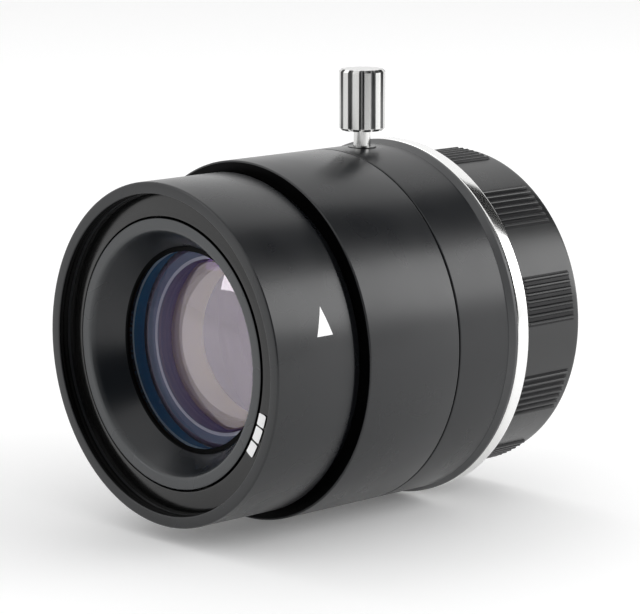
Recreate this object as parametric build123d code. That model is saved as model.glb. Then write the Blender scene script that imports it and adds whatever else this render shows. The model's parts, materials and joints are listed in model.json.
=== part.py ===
from build123d import *
import os
from math import cos, pi, radians, sin, sqrt

# A manual-focus, manual-iris camera lens with its rear cap on, in millimetres.
# The optical axis is Y. The front looks along -Y and the lock screw stands on +Z.
# The origin is the centre of the mount's seat, the face that meets the camera.
# Angles about the axis are measured from +Z towards +X.

# Clearances
running_gap = 0.05
free_gap = 0.3
seat_gap = 0.02
end_gap = 0.05

# Mount flange with its one-inch thread
mount_thread_radius = 12.7
mount_thread_length = 3.9
mount_thread_chamfer = 0.4
mount_wall = 2.7
flange_thickness = 1.4
flange_edge = 0.2
mount_spigot_length = 1.7

# Rear cap
cap_wall = 2.07
cap_length = 8.65
cap_thread_gap = 0.08
cap_thread_length = 4.4
cap_cavity_step = 1.4
cap_end_thickness = 1.8
cap_bevel = 0.7
cap_patches = 10
cap_patch_angle = 7.2
cap_ribs = 7
cap_rib_pitch = 2.55
cap_rib_width = 0.36
cap_rib_height = 0.22
cap_rib_front = 1.7
cap_rib_rear = 0.85

# Main barrel and the sleeve that carries the iris ring
barrel_length = 10.9
barrel_edge = 0.15
barrel_face_slope = 0.2
helicoid_depth = 7.4
sleeve_wall = 1.3
seam_width = 0.15

# Iris ring
iris_ring_length = 7.0
iris_ring_wall = 2.0
iris_ring_edge = 0.12
iris_ring_flare = 0.35
iris_ring_flare_length = 0.9
iris_ring_lip = 0.3

# Focus ring
focus_step = 0.95
focus_grip_length = 9.0
focus_gap = 0.85
focus_rim_chamfer = 0.22
focus_neck_length = 6.9
focus_neck_wall = 0.85
filter_wall = 1.05
filter_depth = 1.05
focus_lip_thickness = 1.7
focus_forward_travel = 0.97
focus_rear_travel = 0.64

# Lens cell
cell_wall = 1.0
cell_front_rebate = 0.55
cell_front_gap = 0.23
cell_flange_width = 1.0
cell_flange_gap = 0.15
cell_flange_thickness = 1.8
cell_front_step = 1.4
thrust_ring_thickness = 1.5
thrust_ring_notch = 1.2

# Front retaining ring, the dark funnel round the front glass
funnel_front = 0.94
funnel_lip_width = 1.08
funnel_lip_height = 0.28
funnel_throat_gap = 0.05
funnel_thread_wall = 1.15
glass_depth = 3.9

# Front glasses: width of the seat and rim, edge thickness, bulge of each face
glass_rim = 0.8
front_glass_seat = 1.0
front_thickness = 1.3
front_bulge = 1.35
front_hollow = 0.9
inner_glass_step = 1.3
front_spacer_length = 1.5
second_thickness = 2.8
second_bulge = 1.6
second_hollow = 1.1
middle_spacer_length = 2.2
third_thickness = 2.8
third_bulge = 0.9
third_hollow = 1.8

# Iris
iris_blades = 6
iris_step = 1.4
iris_ring_range = 48.0
blade_ratio = 0.54
blade_thickness = 0.07
blade_pitch = 0.12
blade_inner_margin = 0.1
blade_tab_neck = 0.85
blade_sweep = 106.0
blade_pin_margin = 1.3
blade_pin_offset = 24.0
blade_pin_radius = 0.35
blade_tab_radius = 0.95
blade_first_angle = 30.0
pivot_pin_depth = 0.6
cam_ring_step = 1.2
cam_ring_thickness = 0.8
drive_pin_angle = 180.0
drive_pin_radius = 0.75
drive_pin_inset = 1.3
drive_pin_setback = 4.6
drive_pin_end_gap = 0.3
drive_screw_radius = 1.0
drive_screw_length = 1.4
drive_slot_width = 0.3
drive_slot_depth = 0.5
fork_gap = 0.7
fork_thickness = 1.0
fork_length = 4.95
fork_prong_angle = 6.2

# Guide pins that keep the cell from turning
guide_pin_radius = 0.75
guide_pin_setback = 5.3
guide_pin_end_gap = 0.15
guide_pin_angles = (90.0, 270.0)

# Rear glasses and their mount
rear_tube_gap = 0.4
rear_tube_wall = 2.0
rear_shoulder = 1.0
rear_shoulder_width = 1.0
rear_flange_thickness = 0.9
rear_flange_setback = 5.1
fourth_thickness = 2.7
fourth_hollow = 1.0
fourth_bulge = 0.8
rear_spacer_length = 2.4
fifth_thickness = 2.6
fifth_bulge = 0.9
rear_ring_length = 2.1
rear_tube_tail = 0.3
spanner_slot_width = 1.0
spanner_slot_depth = 0.7

# Lock screw of the iris ring
lock_setback = 3.5
lock_shank_radius = 0.78
lock_pad_length = 0.5
lock_neck_length = 1.5
lock_head_radius = 2.12
lock_head_length = 5.6
lock_head_chamfer = 0.2
lock_flutes = 12
lock_flute_width = 0.34
lock_flute_depth = 0.36
lock_washer_radius = 1.3
lock_washer_thickness = 0.3
lock_spot_depth = 0.25

# Stations along the axis, from the seat forwards
iris_ring_rear = -flange_thickness - end_gap
iris_ring_front = iris_ring_rear - iris_ring_length
barrel_rear = iris_ring_front - seam_width
barrel_front = barrel_rear - barrel_length
focus_shoulder = barrel_front - focus_gap
front_rim = focus_shoulder - focus_grip_length
filter_floor = front_rim + filter_depth
focus_neck_end = focus_shoulder + focus_neck_length
focus_lip_rear = filter_floor + focus_lip_thickness
cell_flange_front = focus_lip_rear + end_gap
cell_flange_rear = cell_flange_front + cell_flange_thickness
thrust_ring_front = cell_flange_rear + end_gap

# Stations of the glasses and of the iris
glass_seat = front_rim + glass_depth
front_glass_rear = glass_seat + front_thickness
second_glass_front = front_glass_rear + front_spacer_length
second_glass_rear = second_glass_front + second_thickness
third_glass_front = second_glass_rear + middle_spacer_length
third_glass_rear = third_glass_front + third_thickness
drive_pin_y = iris_ring_front + drive_pin_inset
iris_seat = drive_pin_y - drive_pin_setback
web_thickness = iris_seat - third_glass_rear
blade_stack = iris_blades * blade_pitch
cam_ring_front = iris_seat + end_gap + blade_stack + end_gap
cam_ring_rear = cam_ring_front + cam_ring_thickness
rear_tube_front = cam_ring_rear + end_gap
fourth_glass_front = rear_tube_front + rear_shoulder
fourth_glass_rear = fourth_glass_front + fourth_thickness
fifth_glass_front = fourth_glass_rear + rear_spacer_length
fifth_glass_rear = fifth_glass_front + fifth_thickness
rear_ring_end = fifth_glass_rear + rear_ring_length
rear_tube_end = rear_ring_end + rear_tube_tail
rear_flange_front = rear_tube_front + rear_flange_setback
cell_rear = rear_flange_front + rear_flange_thickness
guide_pin_y = iris_seat + guide_pin_setback
lock_y = iris_ring_rear - lock_setback

# Radii from the mount's thread inwards to the rear glasses
mount_bore = mount_thread_radius - mount_wall
rear_tube_radius = mount_bore - rear_tube_gap
rear_edge_radius = rear_tube_radius - rear_tube_wall
rear_clear_radius = rear_edge_radius - glass_rim
rear_tube_front_radius = rear_edge_radius - rear_shoulder_width
iris_open_radius = rear_tube_front_radius - iris_step

# Radii from the rear tube outwards to the grips
fork_inner_radius = rear_tube_radius + fork_gap
cam_ring_radius = fork_inner_radius + fork_thickness
cell_bore = cam_ring_radius + free_gap
cell_radius = cell_bore + cell_wall
sleeve_bore = cell_radius + free_gap
sleeve_radius = sleeve_bore + sleeve_wall
iris_ring_bore = sleeve_radius + running_gap
barrel_radius = iris_ring_bore + iris_ring_wall
flange_radius = barrel_radius + iris_ring_flare
cell_flange_radius = cell_radius + cell_flange_width
focus_bore = cell_flange_radius + cell_flange_gap
helicoid_radius = focus_bore + focus_neck_wall
helicoid_bore = helicoid_radius + running_gap
focus_radius = barrel_radius - focus_step
filter_radius = focus_radius - filter_wall
lock_seat = barrel_radius - lock_spot_depth
cap_bore = mount_thread_radius + cap_thread_gap
cap_radius = cap_bore + cap_wall
cap_cavity_radius = mount_thread_radius - cap_cavity_step

# Radii of the front ring and the front glasses
cell_front_radius = cell_radius - cell_front_rebate
focus_lip_bore = cell_front_radius + cell_front_gap
funnel_mouth_radius = cell_front_radius - funnel_lip_width
funnel_skirt_radius = cell_front_radius - funnel_thread_wall
front_edge_radius = funnel_skirt_radius - front_glass_seat
front_clear_radius = front_edge_radius - glass_rim
funnel_throat_radius = front_clear_radius + funnel_throat_gap
inner_edge_radius = front_edge_radius - inner_glass_step
inner_clear_radius = inner_edge_radius - glass_rim

# Radii of the iris and of the pins that reach into the cell
blade_pin_circle = cell_bore - blade_pin_margin
blade_inner_radius = iris_open_radius + blade_inner_margin
blade_outer_radius = blade_pin_circle - blade_tab_neck
cam_ring_bore = iris_open_radius + cam_ring_step
drive_pin_reach = fork_inner_radius + drive_pin_end_gap
guide_pin_reach = cell_bore + guide_pin_end_gap


def turned(*profile):
    """Solid of revolution about the optical axis; the profile is (radius, y) points."""
    return revolve(make_face(Polyline(*profile, close=True)), Axis.Y)


def cross_plane(y):
    """Plane across the axis at y, where polar angles run from +Z towards +X."""
    return Plane(origin=(0, y, 0), x_dir=(0, 0, 1), z_dir=(0, 1, 0))


def radial_plane(angle, y, radius):
    """Plane that faces outwards at an angle, with its origin at that radius."""
    out = (sin(radians(angle)), 0, cos(radians(angle)))
    return Plane(origin=(out[0] * radius, y, out[2] * radius), x_dir=(0, 1, 0), z_dir=out)


def rod(angle, y, radius, start, end):
    """Round rod along a radial line, from one distance off the axis to another."""
    return extrude(radial_plane(angle, y, start) * Circle(radius), end - start)


def sector(inner, outer, start, span):
    """Flat piece of a ring, in the polar angles of a cross plane."""
    inside = CenterArc((0, 0), inner, start, span)
    outside = CenterArc((0, 0), outer, start, span)
    return make_face([inside, outside, Line(inside @ 0, outside @ 0), Line(inside @ 1, outside @ 1)])


def polar(radius, angle):
    return (radius * cos(radians(angle)), radius * sin(radians(angle)))


def turn(point, angle):
    c, s = cos(radians(angle)), sin(radians(angle))
    return (point[0] * c - point[1] * s, point[0] * s + point[1] * c)


def glass_face(clear, edge_y, bulge):
    """Arc of a polished face from the axis to its clear radius; a bulge below 0 goes forwards."""
    sphere = (clear ** 2 + bulge ** 2) / (2 * abs(bulge))
    middle = sphere - sqrt(sphere ** 2 - clear ** 2 / 4)
    vertex = edge_y + bulge
    half_way = vertex - middle if bulge > 0 else vertex + middle
    return ThreePointArc((0, vertex), (clear / 2, half_way), (clear, edge_y))


def glass(edge, clear, front, rear, front_face, rear_face):
    """One glass with flat ground rims; each face is given by how far rearwards its middle lies."""
    front_arc = glass_face(clear, front, front_face)
    rear_arc = glass_face(clear, rear, rear_face)
    sides = Polyline((clear, front), (edge, front), (edge, rear), (clear, rear))
    return revolve(make_face([front_arc, sides, rear_arc, Line(front_arc @ 0, rear_arc @ 0)]), Axis.Y)


def spanner_notches(outer, y, width, depth):
    """Cutter for the two notches in the rear face of a screwed ring."""
    return extrude(cross_plane(y - depth) * Rectangle(2 * outer + free_gap, width), depth)


def mount_flange():
    return turned(
        (mount_bore, -flange_thickness - mount_spigot_length),
        (sleeve_bore - seat_gap, -flange_thickness - mount_spigot_length),
        (sleeve_bore - seat_gap, -flange_thickness),
        (flange_radius - flange_edge, -flange_thickness),
        (flange_radius, -flange_thickness + flange_edge),
        (flange_radius, -flange_edge),
        (flange_radius - flange_edge, 0),
        (mount_thread_radius, 0),
        (mount_thread_radius, mount_thread_length - mount_thread_chamfer),
        (mount_thread_radius - mount_thread_chamfer, mount_thread_length),
        (mount_bore, mount_thread_length),
    )


def main_barrel():
    entry = barrel_front + barrel_face_slope
    body = turned(
        (barrel_radius - barrel_edge, barrel_front),
        (barrel_radius, barrel_front + barrel_edge),
        (barrel_radius, barrel_rear - barrel_edge),
        (barrel_radius - barrel_edge, barrel_rear),
        (sleeve_radius, barrel_rear),
        (sleeve_radius, -flange_thickness),
        (sleeve_bore, -flange_thickness),
        (sleeve_bore, barrel_front + helicoid_depth),
        (helicoid_bore, barrel_front + helicoid_depth),
        (helicoid_bore, entry),
    )
    reach = drive_pin_radius + free_gap / 2
    half_angle = 180 / pi * reach / sleeve_bore
    slot = sector(sleeve_bore - free_gap, sleeve_radius + free_gap,
                  drive_pin_angle - half_angle, iris_ring_range + 2 * half_angle)
    body -= extrude(cross_plane(drive_pin_y - reach) * slot, 2 * reach)
    hole_radius = guide_pin_radius + seat_gap
    for angle in guide_pin_angles:
        body -= rod(angle, guide_pin_y, hole_radius, sleeve_bore - free_gap, sleeve_radius + free_gap)
    return body


def guide_pins():
    pins = [rod(angle, guide_pin_y, guide_pin_radius, guide_pin_reach, sleeve_radius - seat_gap)
            for angle in guide_pin_angles]
    return Compound(children=pins)


def focus_ring():
    return turned(
        (focus_radius - focus_rim_chamfer, front_rim),
        (focus_radius, front_rim + focus_rim_chamfer),
        (focus_radius, focus_shoulder - focus_rim_chamfer),
        (focus_radius - focus_rim_chamfer, focus_shoulder),
        (helicoid_radius, focus_shoulder),
        (helicoid_radius, focus_neck_end),
        (focus_bore, focus_neck_end),
        (focus_bore, focus_lip_rear),
        (focus_lip_bore, focus_lip_rear),
        (focus_lip_bore, filter_floor),
        (filter_radius, filter_floor),
        (filter_radius, front_rim + focus_rim_chamfer / 2),
        (filter_radius + focus_rim_chamfer / 2, front_rim),
    )


def thrust_ring():
    rear = thrust_ring_front + thrust_ring_thickness
    outer = focus_bore - seat_gap
    ring = turned(
        (cell_radius + free_gap, thrust_ring_front),
        (outer, thrust_ring_front),
        (outer, rear),
        (cell_radius + free_gap, rear),
    )
    return ring - spanner_notches(outer, rear, thrust_ring_notch, thrust_ring_notch / 2)


def lens_cell():
    throat = iris_seat - web_thickness / 3
    body = turned(
        (funnel_skirt_radius + seat_gap, front_rim + funnel_front + cell_front_step),
        (cell_front_radius, front_rim + funnel_front + cell_front_step),
        (cell_front_radius, cell_flange_front),
        (cell_flange_radius, cell_flange_front),
        (cell_flange_radius, cell_flange_rear),
        (cell_radius, cell_flange_rear),
        (cell_radius, cell_rear),
        (cell_bore, cell_rear),
        (cell_bore, iris_seat),
        (iris_open_radius, iris_seat),
        (iris_open_radius, throat),
        (inner_clear_radius, third_glass_rear),
        (inner_edge_radius + seat_gap, third_glass_rear),
        (inner_edge_radius + seat_gap, second_glass_front),
        (front_edge_radius + seat_gap, second_glass_front),
        (front_edge_radius + seat_gap, glass_seat),
        (funnel_skirt_radius + seat_gap, glass_seat),
    )
    for angle in blade_angles():
        hole = Pos(*polar(blade_pin_circle, angle)) * Circle(blade_pin_radius + running_gap)
        body -= extrude(cross_plane(iris_seat) * hole, -pivot_pin_depth - end_gap)
    reach = drive_pin_radius + free_gap
    half_angle = 180 / pi * reach / cell_bore
    window = sector(cell_bore - free_gap, cell_radius + free_gap,
                    drive_pin_angle - half_angle, iris_ring_range + 2 * half_angle)
    window_front = drive_pin_y - focus_rear_travel - reach
    window_length = focus_rear_travel + focus_forward_travel + 2 * reach
    body -= extrude(cross_plane(window_front) * window, window_length)
    slot_length = focus_rear_travel + focus_forward_travel
    slot_middle = guide_pin_y + (focus_forward_travel - focus_rear_travel) / 2
    for angle in guide_pin_angles:
        slot = SlotCenterToCenter(slot_length, 2 * (guide_pin_radius + running_gap))
        base = radial_plane(angle, slot_middle, cell_bore - free_gap)
        body -= extrude(base * slot, cell_radius - cell_bore + 2 * free_gap)
    return body


def front_retaining_ring():
    lip = front_rim + funnel_front
    back = lip + cell_front_step
    return turned(
        (cell_front_radius, back),
        (cell_front_radius, lip + funnel_lip_height),
        (cell_front_radius - funnel_lip_height, lip),
        (funnel_mouth_radius + funnel_lip_height, lip),
        (funnel_mouth_radius, lip + funnel_lip_height),
        (funnel_throat_radius, glass_seat - end_gap),
        (funnel_throat_radius, glass_seat),
        (funnel_skirt_radius, glass_seat),
        (funnel_skirt_radius, back),
    )


def spacer(outer, inner, front, rear):
    return turned((inner, front), (outer, front), (outer, rear), (inner, rear))


def blade_angles():
    return [blade_first_angle + 360 / iris_blades * i for i in range(iris_blades)]


def blade_level(index):
    return iris_seat + end_gap + index * blade_pitch


def iris_blade(index):
    """Crescent blade on its own level, with a pivot pin forwards and a cam pin rearwards."""
    angle = blade_angles()[index]
    level = blade_level(index)
    crescent = sector(blade_inner_radius, blade_outer_radius, angle, blade_sweep)
    tab = SlotArc(CenterArc((0, 0), blade_pin_circle, angle, blade_pin_offset), 2 * blade_tab_radius)
    body = extrude(cross_plane(level) * crescent, blade_thickness)
    body += extrude(cross_plane(level) * tab, blade_thickness)
    pivot = Pos(*polar(blade_pin_circle, angle)) * Circle(blade_pin_radius)
    cam = Pos(*polar(blade_pin_circle, angle + blade_pin_offset)) * Circle(blade_pin_radius)
    pivot_front = iris_seat - pivot_pin_depth
    body += extrude(cross_plane(pivot_front) * pivot, level + blade_thickness - pivot_front)
    body += extrude(cross_plane(level) * cam, cam_ring_rear - end_gap - level)
    return body


def cam_point(angle, ring_turn):
    """Where a blade's cam pin stands in the cam ring when the ring has turned."""
    pivot = polar(blade_pin_circle, angle)
    pin = polar(blade_pin_circle, angle + blade_pin_offset)
    arm = turn((pin[0] - pivot[0], pin[1] - pivot[1]), blade_ratio * ring_turn)
    return turn((pivot[0] + arm[0], pivot[1] + arm[1]), -ring_turn)


def iris_cam_ring():
    body = turned(
        (cam_ring_bore, cam_ring_front),
        (cam_ring_radius, cam_ring_front),
        (cam_ring_radius, cam_ring_rear),
        (cam_ring_bore, cam_ring_rear),
    )
    slot_width = 2 * (blade_pin_radius + running_gap)
    for angle in blade_angles():
        path = ThreePointArc(*(cam_point(angle, share * iris_ring_range) for share in (0, 0.5, 1)))
        body -= extrude(cross_plane(cam_ring_front) * SlotArc(path, slot_width), cam_ring_thickness)
    gap_angle = 180 / pi * (drive_pin_radius + 1.5 * running_gap) / fork_inner_radius
    for start in (gap_angle, -gap_angle - fork_prong_angle):
        prong = sector(fork_inner_radius, cam_ring_radius, drive_pin_angle + start, fork_prong_angle)
        body += extrude(cross_plane(cam_ring_rear) * prong, fork_length)
    return body


def rear_lens_mount():
    outer = cell_bore - seat_gap
    return turned(
        (rear_tube_front_radius, rear_tube_front),
        (rear_tube_radius, rear_tube_front),
        (rear_tube_radius, rear_flange_front),
        (outer, rear_flange_front),
        (outer, cell_rear),
        (rear_tube_radius, cell_rear),
        (rear_tube_radius, rear_tube_end),
        (rear_edge_radius + seat_gap, rear_tube_end),
        (rear_edge_radius + seat_gap, fourth_glass_front),
        (rear_tube_front_radius, fourth_glass_front),
    )


def rear_retaining_ring():
    ring = spacer(rear_edge_radius, rear_clear_radius, fifth_glass_rear, rear_ring_end)
    return ring - spanner_notches(rear_edge_radius, rear_ring_end, spanner_slot_width, spanner_slot_depth)


def iris_ring():
    flare_front = iris_ring_rear - iris_ring_flare_length
    body = turned(
        (iris_ring_bore, iris_ring_front),
        (barrel_radius - iris_ring_edge, iris_ring_front),
        (barrel_radius, iris_ring_front + iris_ring_edge),
        (barrel_radius, flare_front),
        (flange_radius, iris_ring_rear - iris_ring_lip),
        (flange_radius, iris_ring_rear),
        (iris_ring_bore, iris_ring_rear),
    )
    outside = barrel_radius + free_gap
    body -= rod(0, lock_y, lock_washer_radius + seat_gap, lock_seat, outside)
    body -= rod(0, lock_y, lock_shank_radius + running_gap, sleeve_bore, outside)
    body -= rod(drive_pin_angle, drive_pin_y, drive_screw_radius + seat_gap, sleeve_bore, outside)
    return body


def drive_screw():
    top = barrel_radius - free_gap / 2
    shoulder = top - drive_screw_length
    body = rod(drive_pin_angle, drive_pin_y, drive_screw_radius, shoulder, top)
    body += rod(drive_pin_angle, drive_pin_y, drive_pin_radius, drive_pin_reach, shoulder)
    slot_plane = radial_plane(drive_pin_angle, drive_pin_y, top - drive_slot_depth)
    slot = slot_plane * Rectangle(3 * drive_screw_radius, drive_slot_width)
    return body - extrude(slot, drive_slot_depth)


def lock_washer():
    top = lock_seat + lock_washer_thickness
    ring = rod(0, lock_y, lock_washer_radius, lock_seat, top)
    return ring - rod(0, lock_y, lock_shank_radius + running_gap, lock_seat, top)


def lock_pad():
    start = sleeve_radius + end_gap
    return rod(0, lock_y, lock_shank_radius, start, start + lock_pad_length)


def lock_screw():
    tip = sleeve_radius + 2 * end_gap + lock_pad_length
    head_bottom = lock_seat + lock_washer_thickness + lock_neck_length
    body = rod(0, lock_y, lock_shank_radius, tip, head_bottom)
    head = rod(0, lock_y, lock_head_radius, head_bottom, head_bottom + lock_head_length)
    head = chamfer(head.edges().filter_by(GeomType.CIRCLE), lock_head_chamfer)
    base = radial_plane(0, lock_y, head_bottom)
    flute = Pos(lock_head_radius, 0) * Rectangle(2 * lock_flute_depth, lock_flute_width)
    for i in range(lock_flutes):
        turned_flute = Rot(0, 0, (i + 0.5) * 360 / lock_flutes) * flute
        head -= extrude(base * turned_flute, lock_head_length)
    return body + head


def rear_cap():
    front = end_gap
    end = front + cap_length
    body = turned(
        (cap_bore, front),
        (cap_radius, front),
        (cap_radius, end - cap_bevel),
        (cap_radius - cap_bevel, end),
        (0, end),
        (0, end - cap_end_thickness),
        (cap_cavity_radius, end - cap_end_thickness),
        (cap_cavity_radius, front + cap_thread_length),
        (cap_bore, front + cap_thread_length),
    )
    rib_front = front + cap_rib_front
    rib_length = cap_length - cap_rib_front - cap_rib_rear
    for patch in range(cap_patches):
        middle = cap_patch_angle + patch * 360 / cap_patches
        for rib in range(cap_ribs):
            angle = middle + (rib - (cap_ribs - 1) / 2) * cap_rib_pitch
            base = Rot(0, 0, angle) * Pos(cap_radius, 0) * Rectangle(2 * cap_rib_height, cap_rib_width)
            body += extrude(cross_plane(rib_front) * base, rib_length)
    return body


sub_parts = {
    "mount_flange": mount_flange(),
    "main_barrel": main_barrel(),
    "guide_pins": guide_pins(),
    "focus_ring": focus_ring(),
    "thrust_ring": thrust_ring(),
    "lens_cell": lens_cell(),
    "front_retaining_ring": front_retaining_ring(),
    "front_glass": glass(front_edge_radius, front_clear_radius, glass_seat, front_glass_rear,
                         -front_bulge, -front_hollow),
    "front_spacer": spacer(front_edge_radius, front_clear_radius, front_glass_rear, second_glass_front),
    "second_glass": glass(inner_edge_radius, inner_clear_radius, second_glass_front, second_glass_rear,
                          -second_bulge, -second_hollow),
    "middle_spacer": spacer(inner_edge_radius, inner_clear_radius, second_glass_rear, third_glass_front),
    "third_glass": glass(inner_edge_radius, inner_clear_radius, third_glass_front, third_glass_rear,
                         -third_bulge, -third_hollow),
    "iris_cam_ring": iris_cam_ring(),
    "rear_lens_mount": rear_lens_mount(),
    "fourth_glass": glass(rear_edge_radius, rear_clear_radius, fourth_glass_front, fourth_glass_rear,
                          fourth_hollow, fourth_bulge),
    "rear_spacer": spacer(rear_edge_radius, rear_clear_radius, fourth_glass_rear, fifth_glass_front),
    "fifth_glass": glass(rear_edge_radius, rear_clear_radius, fifth_glass_front, fifth_glass_rear,
                         -fifth_bulge, fifth_bulge),
    "rear_retaining_ring": rear_retaining_ring(),
    "iris_ring": iris_ring(),
    "drive_screw": drive_screw(),
    "lock_washer": lock_washer(),
    "lock_pad": lock_pad(),
    "lock_screw": lock_screw(),
    "rear_cap": rear_cap(),
}
for number in range(iris_blades):
    sub_parts[f"iris_blade_{number + 1}"] = iris_blade(number)

os.makedirs("parts", exist_ok=True)
for name, solid in sub_parts.items():
    export_step(solid, f"parts/{name}.step")
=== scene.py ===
import json
from math import atan2, ceil, cos, degrees, hypot, pi, radians, sin, sqrt, tan

import bmesh
import bpy
from mathutils import Matrix, Vector


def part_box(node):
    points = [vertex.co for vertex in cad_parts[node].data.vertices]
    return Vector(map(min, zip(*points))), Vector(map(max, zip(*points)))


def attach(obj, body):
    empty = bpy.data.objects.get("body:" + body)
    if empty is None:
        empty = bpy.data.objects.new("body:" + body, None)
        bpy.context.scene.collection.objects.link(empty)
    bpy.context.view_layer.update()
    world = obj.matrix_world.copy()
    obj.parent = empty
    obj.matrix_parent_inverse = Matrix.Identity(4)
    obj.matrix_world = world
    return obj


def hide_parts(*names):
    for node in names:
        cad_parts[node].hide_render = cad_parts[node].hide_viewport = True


# A black camera lens with its rear cap on. Profiles are (radius, y) points in millimetres.
# The optical axis is Y and the front looks along -Y. Angles are degrees from +Z towards +X.

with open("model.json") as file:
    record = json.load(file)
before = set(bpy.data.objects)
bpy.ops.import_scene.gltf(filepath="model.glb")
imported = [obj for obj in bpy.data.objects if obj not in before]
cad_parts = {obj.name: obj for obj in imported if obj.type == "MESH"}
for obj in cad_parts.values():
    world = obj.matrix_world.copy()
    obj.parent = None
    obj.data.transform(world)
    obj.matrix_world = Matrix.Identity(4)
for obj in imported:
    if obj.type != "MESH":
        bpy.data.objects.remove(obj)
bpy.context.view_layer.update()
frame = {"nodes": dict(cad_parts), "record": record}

MM = 0.001
SMOOTH_ANGLE = radians(32)
ROUND_STEPS = 288
MERGE_DISTANCE = 1e-7
TINY = 1e-6


def low(node, axis):
    """Lowest coordinate of a CAD node along x, y or z, in millimetres."""
    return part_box(node)[0]["xyz".index(axis)] / MM


def high(node, axis):
    """Highest coordinate of a CAD node along x, y or z, in millimetres."""
    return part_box(node)[1]["xyz".index(axis)] / MM


# Stations along the axis
front_rim = low("focus_ring", "y")
focus_neck_end = high("focus_ring", "y")
barrel_front = low("main_barrel", "y")
sleeve_end = high("main_barrel", "y")
iris_front = low("iris_ring", "y")
iris_rear = high("iris_ring", "y")
spigot_front = low("mount_flange", "y")
thread_end = high("mount_flange", "y")
cap_front = low("rear_cap", "y")
cap_end = high("rear_cap", "y")
funnel_crest = low("front_retaining_ring", "y")
glass_seat = high("front_retaining_ring", "y")

# Radii
barrel_radius = high("main_barrel", "z")
focus_radius = high("focus_ring", "z")
flange_radius = high("mount_flange", "z")
funnel_radius = high("front_retaining_ring", "z")
filter_radius = 14.25
helicoid_radius = 14.6
helicoid_gap = 0.05
focus_bore = 13.75
focus_lip_bore = 12.18
sleeve_radius = 14.2
sleeve_bore = 12.9
iris_bore = 14.25
mount_bore = 10.0
thread_radius = 12.7
spigot_radius = 12.88
funnel_mouth = 10.97
funnel_throat = 9.15
funnel_skirt = 10.9
cap_radius = 14.85
cap_bore = 12.78
cap_cavity = 11.3

# Holes and slots that the screws and pins need
drive_angle = 180
iris_travel = 48
drive_y = iris_front + 1.3
drive_hole_radius = 1.02
drive_slot_reach = 0.9
drive_slot_half = degrees(drive_slot_reach / sleeve_bore)
guide_pin_angles = (90, 270)
guide_pin_y = iris_front + 2.0
guide_hole_radius = 0.77
lock_y = iris_rear - 3.5
shank_hole_radius = 0.83
washer_spot_radius = 1.32
washer_spot_depth = 0.25

# Depths and lengths
seam = 0.15
filter_depth = 1.05
floor_slope = 0.28
focus_lip_thickness = 1.7
focus_neck_length = 6.9
face_slope = 0.2
helicoid_depth = 7.4
flange_thickness = 1.4
flare_length = 0.9
flare_lip = 0.3
funnel_rim_depth = 1.4
shade_depth = 0.2
shade_width = 0.12
throat_land = 0.05
cap_wall = 1.8
cap_rim = 1.9
cap_panel_depth = 0.25

# Threads
thread_pitch = 25.4 / 32
thread_depth = 0.42
thread_lead_in = 0.3
thread_run_out = 0.2
thread_fade = 0.3
cap_thread_length = 4.4
cap_thread_inset = 0.3
filter_pitch = 0.5
filter_thread_depth = 0.2
filter_thread_start = 0.15
filter_thread_end = 0.1
THREAD_STEPS = 8
CAP_THREAD_STEPS = 6
WALL_TOLERANCE = 0.01

# Roundings of the edges
plain_edge = 0.05
fine_edge = 0.08
broken_edge = 0.12
barrel_edge = 0.15
rim_edge = 0.2
flare_edge = 0.4
thread_edge = 0.3
mouth_edge = 0.42
throat_edge = 0.04
cap_edge = 0.7
cap_panel_edge = 0.15
cap_cavity_edge = 0.4

# Longest part of a run that the rounding at one end of it may take
CORNER_SHARE = 0.45


def corner_arc(before, corner, after, radius, steps):
    """Points of the arc that rounds one corner of an outline."""
    corner = Vector(corner)
    to_before = Vector(before) - corner
    to_after = Vector(after) - corner
    one, two = to_before.normalized(), to_after.normalized()
    longest = CORNER_SHARE * min(to_before.length, to_after.length)
    reach = min(radius / tan(one.angle(two) / 2), longest)
    start, end = corner + one * reach, corner + two * reach
    points = []
    for i in range(steps + 1):
        t = i / steps
        points.append(start * (1 - t) ** 2 + corner * 2 * t * (1 - t) + end * t ** 2)
    return [(p.x, p.y) for p in points]


def rounded(outline, plain=plain_edge, steps=4):
    """Closed outline with rounded corners; a third number in a point is its own radius."""
    count = len(outline)
    points = []
    for i, point in enumerate(outline):
        radius = point[2] if len(point) > 2 else plain
        if radius == 0:
            points.append(point[:2])
            continue
        points += corner_arc(outline[i - 1][:2], point[:2], outline[(i + 1) % count][:2], radius, steps)
    return points


def divided(outline, start, end, step):
    """Outline whose runs inside a stretch of y are cut into short steps, for a thread."""
    points = []
    for (r, y), (next_r, next_y) in zip(outline, outline[1:] + outline[:1]):
        points.append((r, y))
        inside = min(y, next_y) > start - TINY and max(y, next_y) < end + TINY
        if inside and abs(next_y - y) > step:
            pieces = ceil(abs(next_y - y) / step)
            points += [(r + (next_r - r) * k / pieces, y + (next_y - y) * k / pieces)
                       for k in range(1, pieces)]
    return points


def band(bm, one, two):
    """Band of faces that joins two closed rings of points."""
    for k in range(len(one)):
        j = (k + 1) % len(one)
        bm.faces.new((one[k], one[j], two[j], two[k]))


def finished(name, bm):
    """Object from a built mesh, with its sharp edges marked."""
    mesh = bpy.data.meshes.new(name)
    bmesh.ops.recalc_face_normals(bm, faces=bm.faces)
    bm.to_mesh(mesh)
    bm.free()
    for polygon in mesh.polygons:
        polygon.use_smooth = True
    mesh.set_sharp_from_angle(angle=SMOOTH_ANGLE)
    piece = bpy.data.objects.new(name, mesh)
    bpy.context.scene.collection.objects.link(piece)
    return piece


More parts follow.
